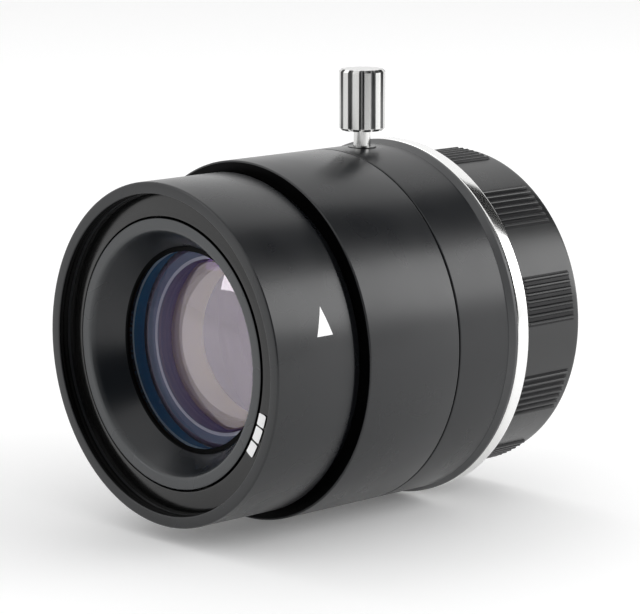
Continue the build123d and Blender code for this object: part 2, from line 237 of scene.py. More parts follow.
def lathe(name, outline, angles=None, shape=None):
    """Closed ring from an outline; shape(radius, y, angle) may give each point another radius."""
    angles = angles or [360 * i / ROUND_STEPS for i in range(ROUND_STEPS)]
    bm = bmesh.new()
    rings = []
    for angle in angles:
        s, c = sin(radians(angle)), cos(radians(angle))
        ring = []
        for r, y in outline:
            r = shape(r, y, angle) if shape else r
            ring.append(bm.verts.new((r * s * MM, y * MM, r * c * MM)))
        rings.append(ring)
    for one, two in zip(rings, rings[1:] + rings[:1]):
        band(bm, one, two)
    bmesh.ops.remove_doubles(bm, verts=bm.verts, dist=MERGE_DISTANCE)
    return finished(name, bm)


def dress(piece, body, slot, *nodes):
    """The piece rides on a body, takes the slot's material and stands for CAD nodes."""
    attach(piece, body)
    if nodes:
        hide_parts(*nodes)
    piece.data.materials.clear()
    piece.data.materials.append(materials[slot])
    return piece


# Materials

# Most of a noise lies between these two greys
NOISE_LOW = 0.35
NOISE_HIGH = 0.65
SLOW_DETAIL = 2.0
FINE_DETAIL = 3.0
TONE_PATCH = 6.0
GLOSS_SPREAD = 0.1
GRAIN_STRENGTH = 0.4
SMUDGE_SIZE = 3.0
SMUDGE_ROUGHNESS = 0.02


class Nodes:
    """Short way to build one material's node tree."""

    def __init__(self, name):
        self.material = bpy.data.materials.new(name)
        self.material.use_nodes = True
        self.tree = self.material.node_tree
        self.tree.nodes.clear()
        output = self.tree.nodes.new("ShaderNodeOutputMaterial")
        self.shader = self.tree.nodes.new("ShaderNodeBsdfPrincipled")
        self.link(self.shader.outputs[0], output.inputs["Surface"])
        self.place = self.tree.nodes.new("ShaderNodeTexCoord").outputs["Object"]

    def link(self, source, target):
        self.tree.links.new(source, target)

    def noise(self, size, detail, stretch=(1, 1, 1)):
        """Noise whose grains are about size millimetres."""
        mapping = self.tree.nodes.new("ShaderNodeMapping")
        mapping.inputs["Scale"].default_value = stretch
        self.link(self.place, mapping.inputs["Vector"])
        noise = self.tree.nodes.new("ShaderNodeTexNoise")
        noise.inputs["Scale"].default_value = 1 / (size * MM)
        noise.inputs["Detail"].default_value = detail
        self.link(mapping.outputs[0], noise.inputs["Vector"])
        return noise.outputs["Fac"]

    def ramp(self, source, low_value, high_value, start=NOISE_LOW, end=NOISE_HIGH):
        """Maps a grey value to another range of numbers."""
        node = self.tree.nodes.new("ShaderNodeMapRange")
        node.inputs["From Min"].default_value = start
        node.inputs["From Max"].default_value = end
        node.inputs["To Min"].default_value = low_value
        node.inputs["To Max"].default_value = high_value
        self.link(source, node.inputs["Value"])
        return node.outputs[0]

    def mix(self, source, one, two):
        """Blend of two colours, each a tuple or the output of another node."""
        node = self.tree.nodes.new("ShaderNodeMix")
        node.data_type = "RGBA"
        for name, colour in (("A", one), ("B", two)):
            if isinstance(colour, tuple):
                node.inputs[name].default_value = (*colour, 1)
            else:
                self.link(colour, node.inputs[name])
        self.link(source, node.inputs["Factor"])
        return node.outputs["Result"]

    def bump(self, source, strength, height):
        """Bump of a height in millimetres."""
        node = self.tree.nodes.new("ShaderNodeBump")
        node.inputs["Strength"].default_value = strength
        node.inputs["Distance"].default_value = height * MM
        self.link(source, node.inputs["Height"])
        self.link(node.outputs[0], self.shader.inputs["Normal"])


def grained_nodes(name, dark, pale, roughness, grain, height, metallic=0.0, specular=0.5,
                  stretch=(1, 1, 1)):
    """Surface with a fine grain, slow changes of tone and uneven gloss."""
    n = Nodes(name)
    slow = n.noise(TONE_PATCH, SLOW_DETAIL)
    fine = n.noise(grain, FINE_DETAIL, stretch)
    n.link(n.mix(slow, dark, pale), n.shader.inputs["Base Color"])
    gloss = n.ramp(slow, roughness * (1 - GLOSS_SPREAD), roughness * (1 + GLOSS_SPREAD))
    n.link(gloss, n.shader.inputs["Roughness"])
    n.shader.inputs["Metallic"].default_value = metallic
    n.shader.inputs["Specular IOR Level"].default_value = specular
    n.bump(fine, GRAIN_STRENGTH, height)
    return n


def grained(name, dark, pale, **finish):
    """Material of a grained surface; grain and height are in millimetres."""
    return grained_nodes(name, dark, pale, **finish).material


def glass_material(name, tint, coat, ior):
    """Clear glass with faint smudges; its reflection is tinted by the coat."""
    n = Nodes(name)
    smudge = n.noise(SMUDGE_SIZE, SLOW_DETAIL)
    n.link(n.ramp(smudge, 0.0, SMUDGE_ROUGHNESS), n.shader.inputs["Roughness"])
    n.shader.inputs["Base Color"].default_value = (*tint, 1)
    n.shader.inputs["Transmission Weight"].default_value = 1.0
    n.shader.inputs["IOR"].default_value = ior
    n.shader.inputs["Specular Tint"].default_value = (*coat, 1)
    return n.material


def crest_fade(name, crest, depth, highlight_grey):
    """Inner black that turns greyer towards the crest of the funnel, as a painted highlight on the lip."""
    n = grained_nodes(name, (0.0022, 0.0036, 0.0058), (0.0032, 0.005, 0.0078),
                      roughness=0.3, grain=0.15, height=0.002, specular=0.55)
    plain = n.shader.inputs["Base Color"].links[0].from_socket
    split = n.tree.nodes.new("ShaderNodeSeparateXYZ")
    n.link(n.place, split.inputs[0])
    fade = n.ramp(split.outputs["Y"], 1.0, 0.0, crest * MM, (crest + depth) * MM)
    n.link(n.mix(fade, plain, highlight_grey), n.shader.inputs["Base Color"])
    return n.material


# One material for each slot of the CAD model
materials = {
    "black_anodised": grained("black_anodised", (0.008, 0.0088, 0.0102), (0.0108, 0.0118, 0.0135),
                              roughness=0.29, grain=0.12, height=0.002, specular=0.52),
    "inner_black": grained("inner_black", (0.003, 0.003, 0.0034), (0.005, 0.005, 0.0055),
                           roughness=0.3, grain=0.15, height=0.002, specular=0.7),
    "blade_black": grained("blade_black", (0.02, 0.02, 0.021), (0.03, 0.03, 0.031),
                           roughness=0.45, grain=0.2, height=0.004),
    "black_plastic": grained("black_plastic", (0.012, 0.0125, 0.013), (0.018, 0.0186, 0.0192),
                             roughness=0.3, grain=0.18, height=0.008, specular=0.55),
    "bright_nickel": grained("bright_nickel", (0.9, 0.9, 0.89), (0.94, 0.94, 0.93),
                             roughness=0.16, grain=0.1, height=0.001, metallic=1.0, stretch=(1, 6, 1)),
    "steel": grained("steel", (0.55, 0.55, 0.55), (0.65, 0.65, 0.64),
                     roughness=0.28, grain=0.08, height=0.002, metallic=1.0),
    "brass": grained("brass", (0.66, 0.5, 0.24), (0.75, 0.6, 0.32),
                     roughness=0.3, grain=0.1, height=0.002, metallic=1.0),
    "nylon": grained("nylon", (0.72, 0.7, 0.64), (0.78, 0.76, 0.7),
                     roughness=0.5, grain=0.2, height=0.004),
    "coated_glass": glass_material("coated_glass", tint=(1.0, 0.985, 0.98), coat=(0.4, 0.06, 1.0), ior=1.27),
    "inner_glass": glass_material("inner_glass", tint=(1.0, 0.99, 0.98), coat=(0.9, 0.83, 0.97), ior=2.1),
}

# Finishes of single zones; several of them are painted shade, highlights or reflections
# Painted highlight: the funnel's black turns greyer towards its crest.
funnel_black = crest_fade("funnel_black", funnel_crest, depth=0.55, highlight_grey=(0.044, 0.047, 0.05))
# Painted shade: a near-black with almost no gloss, for walls, faces and edges that lie in shade.
painted_shade_black = grained("painted_shade_black", (0.0005, 0.0005, 0.0006), (0.001, 0.001, 0.0011),
                       roughness=0.4, grain=0.15, height=0.002, specular=0.05)
recess_floor = grained("recess_floor", (0.003, 0.003, 0.003), (0.004, 0.004, 0.004),
                       roughness=0.18, grain=0.12, height=0.0015, specular=0.6)
# Painted reflection of the coatings: a navy for the front spacer's wall.
navy_painted_reflection = grained("navy_painted_reflection", (0.014, 0.11, 0.27), (0.018, 0.125, 0.3),
                    roughness=0.25, grain=0.15, height=0.001, specular=0.3)
# Painted reflection: a dark navy for the second glass's rim.
navy_edge_painted_reflection = grained("navy_edge_painted_reflection", (0.002, 0.045, 0.08), (0.003, 0.055, 0.095),
                    roughness=0.3, grain=0.1, height=0.002, specular=0.3)
# Painted reflection: a warm cream tone for the third glass's front face.
warm_painted_reflection = grained("warm_painted_reflection", (0.8, 0.6, 0.2), (0.88, 0.68, 0.24),
                    roughness=0.5, grain=0.15, height=0.002, specular=0.2)
# Painted highlight: a pale blue for the front glass's rear bevel.
bevel_painted_highlight = grained("bevel_painted_highlight", (0.25, 0.36, 0.5), (0.3, 0.42, 0.56),
                     roughness=0.3, grain=0.1, height=0.001)
# Painted shade: a darker black for the gaps between the cap's ribs.
rib_shade = grained("rib_shade", (0.006, 0.006, 0.007), (0.009, 0.009, 0.01),
                    roughness=0.5, grain=0.18, height=0.01, specular=0.3)
edge_black = grained("edge_black", (0.05, 0.051, 0.053), (0.06, 0.061, 0.063),
                     roughness=0.42, grain=0.12, height=0.002)
screw_nickel = grained("screw_nickel", (0.62, 0.62, 0.61), (0.68, 0.68, 0.67),
                       roughness=0.2, grain=0.1, height=0.001, metallic=1.0)
# Painted shade: a darker nickel for the flutes of the lock screw's head.
flute_painted_shade = grained("flute_painted_shade", (0.2, 0.2, 0.2), (0.28, 0.28, 0.28),
                       roughness=0.3, grain=0.1, height=0.001, metallic=1.0)
lavender_glass = glass_material("lavender_glass", tint=(0.88, 0.92, 1.0), coat=(0.4, 0.48, 1.0), ior=2.05)
white_paint = grained("white_paint", (0.96, 0.96, 0.96), (0.99, 0.99, 0.99),
                      roughness=0.5, grain=0.15, height=0.003)
ground_glass = grained("ground_glass", (0.3, 0.34, 0.4), (0.36, 0.4, 0.46),
                       roughness=0.45, grain=0.1, height=0.003)

for node in frame["record"]["subparts"]:
    cad_object = frame["nodes"][node["node"]]
    cad_object.data.materials.clear()
    cad_object.data.materials.append(materials[node["material_slot"]])


# Reach round a zone when its faces are picked by their middles
SLACK = 0.05


def repaint(piece, material, inside):
    """Another material on the faces whose middle (radius, y) lies inside a zone, for a finish or for painted
    light and shade.
    """
    piece.data.materials.append(material)
    for polygon in piece.data.polygons:
        middle = polygon.center / MM
        if inside(hypot(middle.x, middle.z), middle.y):
            polygon.material_index = len(piece.data.materials) - 1


# Cutters

# How far a cutter stands out of the wall that it cuts
CUT_REACH = 0.3
HOLE_SIDES = 40
ARC_STEP = 2


def radial_cutter(angle, y, radius, inner, outer):
    """Round rod along a radius of the lens, to be cut out of a ring."""
    bm = bmesh.new()
    bmesh.ops.create_cone(bm, cap_ends=True, segments=HOLE_SIDES, radius1=radius * MM,
                          radius2=radius * MM, depth=(outer - inner) * MM)
    middle = (inner + outer) / 2 * MM
    direction = Vector((sin(radians(angle)), 0, cos(radians(angle))))
    turn = Matrix.Rotation(radians(angle), 4, "Y")
    shift = Matrix.Translation(direction * middle + Vector((0, y * MM, 0)))
    bmesh.ops.transform(bm, verts=bm.verts, matrix=shift @ turn)
    return finished("cutter", bm)


def arc_cutter(start, end, front, rear, inner, outer):
    """Block bent round the axis between two angles, to be cut out of a ring."""
    bm = bmesh.new()
    rings = []
    steps = ceil((end - start) / ARC_STEP)
    for i in range(steps + 1):
        angle = radians(start + (end - start) * i / steps)
        rings.append([bm.verts.new((r * sin(angle) * MM, y * MM, r * cos(angle) * MM))
                      for r, y in ((inner, front), (outer, front), (outer, rear), (inner, rear))])
    for one, two in zip(rings, rings[1:]):
        band(bm, one, two)
    bm.faces.new(rings[0])
    bm.faces.new(rings[-1])
    return finished("cutter", bm)


def cut(piece, cutters):
    """Takes closed cutters out of a piece for good."""
    for cutter in cutters:
        modifier = piece.modifiers.new("cut", "BOOLEAN")
        modifier.operation = "DIFFERENCE"
        modifier.solver = "EXACT"
        modifier.object = cutter
    graph = bpy.context.evaluated_depsgraph_get()
    mesh = bpy.data.meshes.new_from_object(piece.evaluated_get(graph))
    piece.modifiers.clear()
    piece.data = mesh
    mesh.set_sharp_from_angle(angle=SMOOTH_ANGLE)
    for cutter in cutters:
        bpy.data.objects.remove(cutter)
    return piece


# Rings of the barrel

THREAD_STEEPNESS = 1.25
THREAD_ROOT_FLAT = 0.1


def thread_wave(y, angle, pitch):
    """Height of a 60 degree thread, from 0 in the root to 1 on the crest."""
    turn = (y / pitch - angle / 360) % 1
    return min(1.0, max(0.0, THREAD_STEEPNESS * (1 - abs(2 * turn - 1)) - THREAD_ROOT_FLAT))


def on_wall(r, radius):
    return abs(r - radius) < WALL_TOLERANCE


def focus_ring():
    """Front barrel with a threaded filter recess; its neck runs inside the main barrel."""
    shoulder = focus_neck_end - focus_neck_length
    floor = front_rim + filter_depth
    lip_rear = floor + focus_lip_thickness
    outline = rounded([
        (focus_radius, front_rim, rim_edge),
        (focus_radius, shoulder, rim_edge),
        (helicoid_radius, shoulder),
        (helicoid_radius, focus_neck_end),
        (focus_bore, focus_neck_end),
        (focus_bore, lip_rear),
        (focus_lip_bore, lip_rear),
        (focus_lip_bore, floor, fine_edge),
        (filter_radius, floor + floor_slope, 0),
        (filter_radius, front_rim, broken_edge),
    ])
    outline = divided(outline, front_rim + plain_edge, floor + floor_slope, filter_pitch / THREAD_STEPS)
    start, end = front_rim + filter_thread_start, floor - filter_thread_end

    def filter_thread(r, y, angle):
        if on_wall(r, filter_radius) and start < y < end:
            return r + filter_thread_depth * (1 - thread_wave(y, angle, filter_pitch))
        return r

    def recess_wall(r, y):
        beside = filter_radius - SLACK < r < filter_radius + filter_thread_depth + SLACK
        return beside and front_rim + 2 * SLACK < y < floor

    def recess_bottom(r, y):
        return r < filter_radius - SLACK and floor - 2 * SLACK < y < floor + floor_slope + 2 * SLACK

    piece = lathe("focus_ring_shell", outline, shape=filter_thread)
    dress(piece, "focus_ring", "black_anodised", "focus_ring")
    # Painted shade: the threaded wall of the filter recess takes the near-black.
    repaint(piece, painted_shade_black, recess_wall)
    repaint(piece, recess_floor, recess_bottom)


def main_barrel():
    """Wide fixed barrel, with the sleeve that carries the iris ring."""
    barrel_rear = iris_front - seam
    pocket = barrel_front + helicoid_depth
    bore = helicoid_radius + helicoid_gap
    outline = rounded([
        (barrel_radius, barrel_front, barrel_edge),
        (barrel_radius, barrel_rear, broken_edge),
        (sleeve_radius, barrel_rear),
        (sleeve_radius, sleeve_end),
        (sleeve_bore, sleeve_end),
        (sleeve_bore, pocket),
        (bore, pocket),
        (bore, barrel_front + face_slope),
    ])
    inner, outer = sleeve_bore - CUT_REACH, sleeve_radius + CUT_REACH
    slot = arc_cutter(drive_angle - drive_slot_half, drive_angle + iris_travel + drive_slot_half,
                      drive_y - drive_slot_reach, drive_y + drive_slot_reach, inner, outer)
    holes = [radial_cutter(angle, guide_pin_y, guide_hole_radius, inner, outer)
             for angle in guide_pin_angles]

    def front_face(r, y):
        return r < barrel_radius - barrel_edge - 2 * SLACK and y < barrel_front + face_slope + 2 * SLACK

    piece = cut(lathe("main_barrel_shell", outline), [slot] + holes)
    dress(piece, "barrel", "black_anodised", "main_barrel")
    # Painted shade: the barrel's front face, seen in the gap behind the focus ring, takes the near-black.
    repaint(piece, painted_shade_black, front_face)


def iris_ring():
    """Rear section that turns on the sleeve, flared towards the mount flange."""
    flare_start = 0.03
    bore_margin = 0.5
    outline = rounded([
        (iris_bore, iris_front),
        (barrel_radius, iris_front, broken_edge),
        (barrel_radius, iris_rear - flare_length, flare_edge),
        (flange_radius, iris_rear - flare_lip, broken_edge),
        (flange_radius, iris_rear, fine_edge),
        (iris_bore, iris_rear),
    ])
    inner, outer = sleeve_bore, barrel_radius + CUT_REACH
    holes = [radial_cutter(0, lock_y, washer_spot_radius, barrel_radius - washer_spot_depth, outer),
             radial_cutter(0, lock_y, shank_hole_radius, inner, outer),
             radial_cutter(drive_angle, drive_y, drive_hole_radius, inner, outer)]

    def flare(r, y):
        return r > barrel_radius + flare_start and y < iris_rear - flare_lip / 2

    def washer_spot(r, y):
        return iris_bore + bore_margin < r < barrel_radius - SLACK and abs(y - lock_y) < washer_spot_radius

    piece = cut(lathe("iris_ring_shell", outline), holes)
    dress(piece, "iris_ring", "black_anodised", "iris_ring")
    repaint(piece, edge_black, flare)
    # Painted shade: the spot face under the lock screw takes the near-black.
    repaint(piece, painted_shade_black, washer_spot)


def mount_flange():
    """Bright ring with the camera thread behind it; the mount seat is at y 0."""
    outline = rounded([
        (mount_bore, spigot_front),
        (spigot_radius, spigot_front),
        (spigot_radius, -flange_thickness),
        (flange_radius, -flange_thickness, rim_edge),
        (flange_radius, 0, rim_edge),
        (thread_radius, 0),
        (thread_radius, thread_end, thread_edge),
        (mount_bore, thread_end, rim_edge),
    ])
    outline = divided(outline, 0, thread_end, thread_pitch / THREAD_STEPS)
    start, end = thread_lead_in, thread_end - thread_run_out

    def mount_thread(r, y, angle):
        if r > (mount_bore + thread_radius) / 2 and start < y < end:
            fade = min(1.0, (y - start) / thread_fade, (end - y) / thread_fade)
            return r - fade * thread_depth * (1 - thread_wave(y, angle, thread_pitch))
        return r

    piece = lathe("mount_flange_shell", outline, shape=mount_thread)
    dress(piece, "barrel", "bright_nickel", "mount_flange")


def funnel():
    """Dark funnel with a rounded lip that holds the front glass."""
    back = funnel_crest + funnel_rim_depth
    outline = rounded([
        (funnel_radius, back),
        (funnel_radius, funnel_crest, rim_edge),
        (funnel_mouth, funnel_crest, mouth_edge),
        (funnel_throat + shade_width, glass_seat - shade_depth, 0),
        (funnel_throat, glass_seat - throat_land, throat_edge),
        (funnel_throat, glass_seat, 0),
        (funnel_skirt, glass_seat),
        (funnel_skirt, back),
    ], steps=8)

    def rim_or_throat(r, y):
        return r > funnel_radius - SLACK or y > glass_seat - shade_depth - SLACK

    piece = lathe("front_funnel", outline)
    dress(piece, "lens_cell", "inner_black", "front_retaining_ring")
    # Painted highlight on the lip: the funnel's black turns greyer towards the crest.
    piece.data.materials[0] = funnel_black
    # Painted shade: the funnel's outer rim and the edge of its throat take the near-black.
    repaint(piece, painted_shade_black, rim_or_throat)


# Rear cap

CAP_PATCHES = 10
CAP_PATCH_ANGLE = 7.2
CAP_RIBS = 7
CAP_RIB_PITCH = 2.55
CAP_RIB_WIDTH = 1.39
CAP_RIB_HEIGHT = 0.22
CAP_RIB_FRONT = 1.7
CAP_RIB_REAR = 0.85
CAP_RIB_SLOPE = 0.12
CAP_FREE_STEPS = 12

# A rib from side to side, as shares of half its width and of its height
RIB_SHOULDER = 0.6
RIB_PROFILE = ((-1, 0), (-RIB_SHOULDER, 0.8), (-0.25, 1), (0.25, 1), (RIB_SHOULDER, 0.8), (1, 0))


def cap_angles():
    """Angles of all points round the cap, and the height of the rib at those that lie on one."""
    angles = []
    heights = {}
    half = CAP_RIB_WIDTH / 2
    free = 360 / CAP_PATCHES - CAP_RIBS * CAP_RIB_PITCH
    for patch in range(CAP_PATCHES):
        middle = CAP_PATCH_ANGLE + patch * 360 / CAP_PATCHES
        for rib in range(CAP_RIBS):
            rib_middle = middle + (rib - (CAP_RIBS - 1) / 2) * CAP_RIB_PITCH
            for share, height in RIB_PROFILE:
                angles.append(rib_middle + share * half)
                heights[angles[-1]] = height
        edge = middle + CAP_RIBS / 2 * CAP_RIB_PITCH
        angles += [edge + free * k / CAP_FREE_STEPS for k in range(CAP_FREE_STEPS + 1)]
    return sorted(angles), heights


def shade_rib_gaps(piece, rib_start, rib_end):
    """Painted shade between the ribs of every patch: a darker black on the faces in the gaps."""
    piece.data.materials.append(rib_shade)
    sector = 360 / CAP_PATCHES
    for polygon in piece.data.polygons:
        middle = polygon.center / MM
        if hypot(middle.x, middle.z) < cap_radius - 2 * SLACK or not rib_start < middle.y < rib_end:
            continue
        turn = degrees(atan2(middle.x, middle.z)) - CAP_PATCH_ANGLE
        from_patch = (turn + sector / 2) % sector - sector / 2
        from_rib = ((from_patch / CAP_RIB_PITCH + 0.5) % 1 - 0.5) * CAP_RIB_PITCH
        in_patch = abs(from_patch) < CAP_RIBS / 2 * CAP_RIB_PITCH
        if in_patch and abs(from_rib) > RIB_SHOULDER * CAP_RIB_WIDTH / 2:
            polygon.material_index = 1


def rear_cap():
    """Plastic cap with patches of ribs, a thread inside and a shallow panel on its back."""
    rib_start, rib_end = cap_front + CAP_RIB_FRONT, cap_end - CAP_RIB_REAR
    thread_stop = cap_front + cap_thread_length
    panel = cap_end - cap_panel_depth
    ceiling = cap_end - cap_wall
    outline = rounded([
        (cap_bore, cap_front),
        (cap_radius, cap_front, broken_edge),
        (cap_radius, rib_start, 0),
        (cap_radius, rib_start + CAP_RIB_SLOPE, 0),
        (cap_radius, rib_end - CAP_RIB_SLOPE, 0),
        (cap_radius, rib_end, 0),
        (cap_radius, cap_end, cap_edge),
        (cap_radius - cap_rim, cap_end, cap_panel_edge),
        (cap_radius - cap_rim - cap_panel_depth, panel, cap_panel_edge),
        (0, panel, 0),
        (0, ceiling, 0),
        (cap_cavity, ceiling, cap_cavity_edge),
        (cap_cavity, thread_stop),
        (cap_bore, thread_stop),
    ], steps=6)
    outline = divided(outline, cap_front, thread_stop, thread_pitch / CAP_THREAD_STEPS)
    start, end = cap_front + cap_thread_inset, thread_stop - cap_thread_inset
    angles, heights = cap_angles()

    def ribs_and_thread(r, y, angle):
        on_rib = rib_start + CAP_RIB_SLOPE / 2 < y < rib_end - CAP_RIB_SLOPE / 2
        if on_wall(r, cap_radius) and on_rib:
            return r + CAP_RIB_HEIGHT * heights.get(angle, 0)
        if on_wall(r, cap_bore) and start < y < end:
            return r + thread_depth * (1 - thread_wave(y, angle, thread_pitch))
        return r

    piece = lathe("rear_cap_shell", outline, angles, ribs_and_thread)
    dress(piece, "rear_cap", "black_plastic", "rear_cap")
    shade_rib_gaps(piece, rib_start, rib_end)


# Lock screw

SCREW_HEAD_LENGTH = 5.6
SCREW_SHANK_RADIUS = 0.78
SCREW_CHAMFER = 0.22
FLUTES = 12
FLUTE_HALF_ANGLE = 6.8
FLUTE_DEPTH = 0.36
LAND_STEPS = 4

# A flute from side to side, as shares of half its angle and of its depth
FLUTE_PROFILE = ((-1, 0), (-0.55, 0.75), (-0.3, 1), (0.3, 1), (0.55, 0.75), (1, 0))


def fluted_outline():
    """Points round the head, each an angle and a share of the flutes' depth."""
    sector = 360 / FLUTES
    land = sector - 2 * FLUTE_HALF_ANGLE
    outline = []
    for i in range(FLUTES):
        middle = (i + 0.5) * 360 / FLUTES
        outline += [(middle + share * FLUTE_HALF_ANGLE, depth) for share, depth in FLUTE_PROFILE]
        outline += [(middle + FLUTE_HALF_ANGLE + land * k / LAND_STEPS, 0) for k in range(1, LAND_STEPS)]
    return outline


def lock_screw():
    """Thumbscrew with a fluted head on a plain shank, along Z."""
    low_corner, high_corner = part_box("lock_screw")
    centre = (low_corner + high_corner) / 2
    head_radius = (high_corner.x - low_corner.x) / 2 / MM
    top = high_corner.z / MM
    tip = low_corner.z / MM
    bottom = top - SCREW_HEAD_LENGTH
    outline = fluted_outline()
    layers = [(tip, SCREW_SHANK_RADIUS), (bottom, SCREW_SHANK_RADIUS),
              (bottom, head_radius - SCREW_CHAMFER), (bottom + SCREW_CHAMFER, head_radius),
              (top - SCREW_CHAMFER, head_radius), (top, head_radius - SCREW_CHAMFER)]
    bm = bmesh.new()
    rings = []
    for z, limit in layers:
        ring = []
        for angle, depth in outline:
            r = min(limit, head_radius - FLUTE_DEPTH * depth)
            ring.append(bm.verts.new((centre.x + r * sin(radians(angle)) * MM,
                                      centre.y + r * cos(radians(angle)) * MM, z * MM)))
        rings.append(ring)
    for one, two in zip(rings, rings[1:]):
        band(bm, one, two)
    bm.faces.new(rings[0])
    bm.faces.new(rings[-1])
    piece = finished("lock_screw_fluted", bm)
    dress(piece, "lock_screw", "bright_nickel", "lock_screw")
    piece.data.materials[0] = screw_nickel
    shade_flutes(piece, centre, head_radius)


def shade_flutes(piece, centre, head_radius):
    """Painted shade in the flutes: a darker nickel on the upright faces of the head that lie deeper than its
    lands.
    """
    margin = 0.06
    upright = 0.3
    piece.data.materials.append(flute_painted_shade)
    for polygon in piece.data.polygons:
        middle = (polygon.center - centre) / MM
        sunken = hypot(middle.x, middle.y) < head_radius - margin
        if sunken and abs(polygon.normal.z) < upright and middle.z > 0:
            polygon.material_index = 1


# Glasses

BEVEL = 0.3
FRONT_RADIUS = 9.9
FRONT_CLEAR = 9.1
FRONT_THICKNESS = 1.3
FRONT_TO_SECOND = 1.7
INNER_RADIUS = 8.6
SECOND_CLEAR = 7.6
SECOND_THICKNESS = 2.6
SECOND_RIM_LEAD = 0.2
SECOND_TO_THIRD = 4.8
THIRD_CLEAR = 7.8
THIRD_THICKNESS = 2.8
WARM_REFLECTION_RADIUS = 5.9

# How far the middles of the front and rear faces lie behind the faces' edges
FRONT_BULGES = (-1.35, -0.9)
SECOND_BULGES = (-1.6, -1.1)
THIRD_BULGES = (-0.9, -1.8)


def polished_face(clear, edge_y, bulge, steps=14):
    """Arc of a polished face from the axis to its clear radius, with a narrow last step for the bevel."""
    sphere = (clear ** 2 + bulge ** 2) / (2 * abs(bulge))
    side = 1 if bulge > 0 else -1
    middle = edge_y + bulge - side * sphere
    radii = [(clear - BEVEL) * i / steps for i in range(steps + 1)] + [clear]
    return [(r, middle + side * sqrt(sphere ** 2 - r ** 2)) for r in radii]


def glass(name, node, slot, edge, clear, front, thickness, bulges, lead=0.0):
    """One glass; the outer end of its front rim stands ahead of the bevel by the lead."""
    rear = front + thickness
    front_face = polished_face(clear, front, bulges[0])
    rear_face = polished_face(clear, rear, bulges[1])
    rim = [(clear + BEVEL, front), (edge, front - lead), (edge, rear)]
    return dress(lathe(name, front_face + rim + rear_face[::-1]), "lens_cell", slot, node)


def front_lens(front):
    middle = front + FRONT_THICKNESS / 2

    # Painted shade: the glass beyond its clear radius and its front bevel take the near-black.
    def painted_shade_rim(r, y):
        return r > FRONT_CLEAR or (r > FRONT_CLEAR - BEVEL and y < middle)

    def rear_bevel(r, y):
        return FRONT_CLEAR - BEVEL < r < FRONT_CLEAR and y > middle

    piece = glass("front_lens", "front_glass", "coated_glass", FRONT_RADIUS, FRONT_CLEAR, front,
                  FRONT_THICKNESS, FRONT_BULGES)
    repaint(piece, painted_shade_black, painted_shade_rim)
    # Painted highlight: a pale blue line on the rear bevel.
    repaint(piece, bevel_painted_highlight, rear_bevel)


def second_lens(front):
    piece = glass("second_lens", "second_glass", "inner_glass", INNER_RADIUS, SECOND_CLEAR, front,
                  SECOND_THICKNESS, SECOND_BULGES, SECOND_RIM_LEAD)
    # Painted reflection: the rim outside the clear radius takes a dark navy.
    repaint(piece, navy_edge_painted_reflection, lambda r, y: r > SECOND_CLEAR)
    repaint(piece, ground_glass, lambda r, y: SECOND_CLEAR < r < SECOND_CLEAR + BEVEL)


def third_lens(front):
    middle = front + THIRD_THICKNESS / 2
    piece = glass("third_lens", "third_glass", "inner_glass", INNER_RADIUS, THIRD_CLEAR, front,
                  THIRD_THICKNESS, THIRD_BULGES)
    piece.data.materials[0] = lavender_glass
    # Painted reflection: the front face outside this radius takes a warm cream tone.
    repaint(piece, warm_painted_reflection, lambda r, y: r > WARM_REFLECTION_RADIUS and y < middle)
    # Painted shade: the rim outside the clear radius takes the near-black.
    repaint(piece, painted_shade_black, lambda r, y: r > THIRD_CLEAR)


def glasses():
    """The three glasses that are seen from the front; the wall between them shows through."""
    second = glass_seat + FRONT_THICKNESS + FRONT_TO_SECOND
    front_lens(glass_seat)
    second_lens(second)
    third_lens(second + SECOND_TO_THIRD)
    # Painted reflection: the spacer's wall takes a navy that stands for the coatings' reflection.
    frame["nodes"]["front_spacer"].data.materials[0] = navy_painted_reflection


# White marks

PAINT_LIFT = 0.012
PATCH_CUTS = 5
BLOCK_ROUNDING = 0.4
BLOCK_ROUNDING_STEPS = 5

# Corners of the triangle on the focus ring's side, each an angle and a depth behind the rim
TRIANGLE = ((68.5, 5.77), (78.0, 4.8), (78.0, 6.6))

# The blocks on the ring's flat face: angles of their ends, and reach from the lip's bore
BLOCK_ENDS = ((105.6, 110.8), (111.5, 117.7), (118.6, 124.6))
BLOCK_INNER = 0.05
BLOCK_OUTER = 0.9


def patch(name, corners, place, body):
    """Thin painted patch: corners are flat (u, v) points and place(u, v, height) lays them on."""
    bm = bmesh.new()
    flat = [bm.verts.new((u, v, 0)) for u, v in corners]
    bm.faces.new(flat)
    bmesh.ops.triangulate(bm, faces=bm.faces)
    bmesh.ops.subdivide_edges(bm, edges=bm.edges, cuts=PATCH_CUTS, use_grid_fill=True)
    bmesh.ops.triangulate(bm, faces=bm.faces)
    border = [e for e in bm.edges if len(e.link_faces) == 1]
    made = bmesh.ops.extrude_edge_only(bm, edges=border)["geom"]
    skirt = {v for v in made if isinstance(v, bmesh.types.BMVert)}
    for vert in bm.verts:
        height = -PAINT_LIFT if vert in skirt else PAINT_LIFT
        vert.co = Vector(place(vert.co.x, vert.co.y, height)) * MM
    piece = finished(name, bm)
    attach(piece, body)
    piece.data.materials.append(white_paint)


def on_side(angle, depth, height):
    """Point over the side of the focus ring."""
    r = focus_radius + height
    return (r * sin(radians(angle)), front_rim + depth, r * cos(radians(angle)))


def on_recess(angle, radius, height):
    """Point over the flat face inside the filter recess."""
    return (radius * sin(radians(angle)), front_rim + filter_depth - height, radius * cos(radians(angle)))


